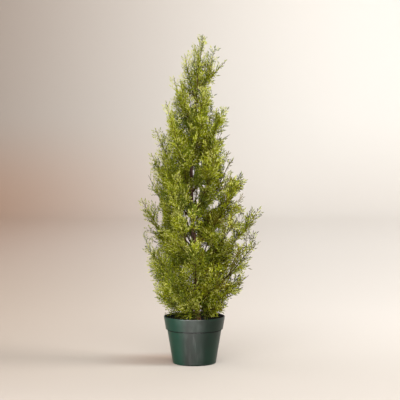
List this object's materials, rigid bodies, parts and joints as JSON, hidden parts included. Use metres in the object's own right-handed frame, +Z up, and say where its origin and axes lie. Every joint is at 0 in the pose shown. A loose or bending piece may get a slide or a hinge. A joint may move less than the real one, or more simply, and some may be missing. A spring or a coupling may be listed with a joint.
{
  "type": "potted artificial cedar topiary tree",
  "caption": "Slim potted cedar topiary: a feathery, pointed cone of foliage sprays round one upright trunk, in a round tapered pot with a banded rim.",
  "frame": {"origin": "centre of the pot's flat underside", "axes": "+Z up along the plant's height, -Y towards the front of the plant"},
  "size_m": [0.3349, 0.3383, 0.914],
  "materials": {
    "pot_plastic": "dark green moulded plastic with a soft sheen",
    "ballast": "black, rough cast fill",
    "bark": "dark brown wrapped stem with a bark-like relief",
    "foliage": "matt yellow-green moulded cedar sprays"
  },
  "bodies": {
    "root": {"pot": "pot_plastic", "fill": "ballast", "trunk": "bark", "bough_lower_1": "bark", "bough_lower_2": "bark", "bough_lower_3": "bark", "bough_lower_4": "bark", "bough_lower_5": "bark", "mass_skirt_1": "foliage", "mass_skirt_2": "foliage", "mass_skirt_3": "foliage", "mass_skirt_4": "foliage", "mass_skirt_5": "foliage", "mass_low_1": "foliage", "mass_low_2": "foliage", "mass_low_3": "foliage", "mass_low_4": "foliage", "mass_low_5": "foliage", "mass_lower_1": "foliage", "mass_lower_2": "foliage", "mass_lower_3": "foliage", "mass_lower_4": "foliage", "mass_lower_5": "foliage", "mass_middle_1": "foliage", "mass_middle_2": "foliage", "mass_middle_3": "foliage", "mass_middle_4": "foliage", "mass_middle_5": "foliage", "mass_middle_6": "foliage", "mass_upper_1": "foliage", "mass_upper_2": "foliage", "mass_upper_3": "foliage", "mass_upper_4": "foliage", "mass_upper_5": "foliage", "mass_high_1": "foliage", "mass_high_2": "foliage", "mass_high_3": "foliage", "mass_high_4": "foliage", "mass_high_5": "foliage", "mass_higher_1": "foliage", "mass_higher_2": "foliage", "mass_higher_3": "foliage", "mass_higher_4": "foliage", "mass_higher_5": "foliage", "mass_neck_1": "foliage", "mass_neck_2": "foliage", "mass_neck_3": "foliage", "mass_neck_4": "foliage", "mass_neck_5": "foliage", "mass_collar_1": "foliage", "mass_collar_2": "foliage", "mass_collar_3": "foliage", "mass_collar_4": "foliage", "mass_collar_5": "foliage", "mass_tuft_1": "foliage", "mass_tuft_2": "foliage", "mass_tuft_3": "foliage", "mass_tuft_4": "foliage", "mass_side_spray": "foliage", "mass_leader": "foliage"}
  },
  "joints": []
}
